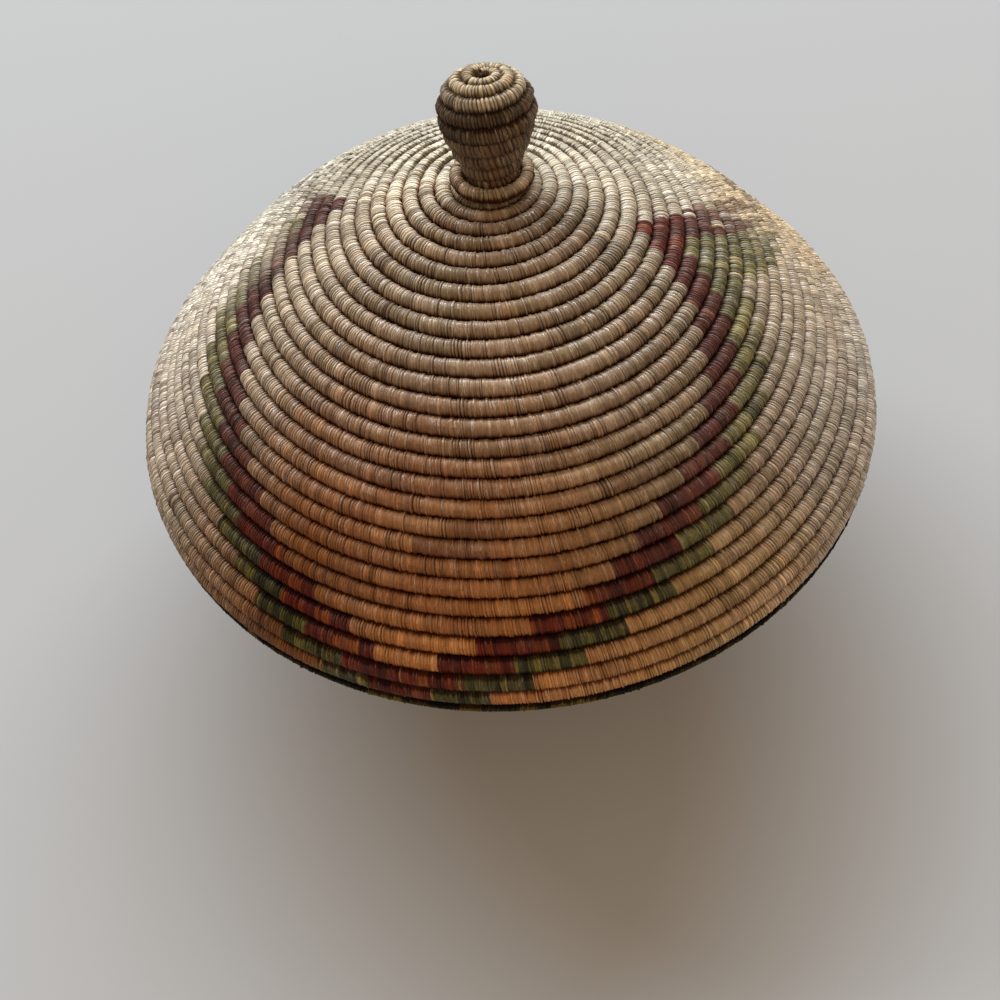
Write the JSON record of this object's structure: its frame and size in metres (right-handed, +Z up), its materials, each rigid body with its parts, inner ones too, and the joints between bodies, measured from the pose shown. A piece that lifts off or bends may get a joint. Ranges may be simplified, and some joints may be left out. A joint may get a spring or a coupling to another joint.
{
  "type": "lidded coiled basket",
  "caption": "Round coiled basket with a domed lid and a coiled knob, on a flaring bowl with a low ring foot; the lid lifts off.",
  "frame": {"origin": "on the floor, at the middle of the foot's flat underside", "axes": "+Z up the basket's axis towards the knob; -Y towards the side that the picture is taken from; +X to the right of that picture"},
  "size_m": [0.3102, 0.3103, 0.2454],
  "materials": {
    "lid_raffia": "dry palm strips over grass, natural with a dyed zigzag",
    "knob_raffia": "dry palm strips, undyed",
    "bowl_raffia": "dry palm strips over grass, undyed",
    "rim_raffia": "dry palm strips, dyed blackish green"
  },
  "bodies": {
    "base": {"foot_ring": "bowl_raffia", "bowl": "bowl_raffia", "bowl_rim_coil": "rim_raffia", "lid_seat_collar": "bowl_raffia"},
    "lid": {"lid_dome": "lid_raffia", "knob": "knob_raffia", "knob_foot_ring": "knob_raffia"}
  },
  "joints": [
    {"name": "lid_lift", "type": "slide", "parent": "base", "child": "lid", "axis": [0, 0, 1], "range_m": [0, 0.2]}
  ]
}
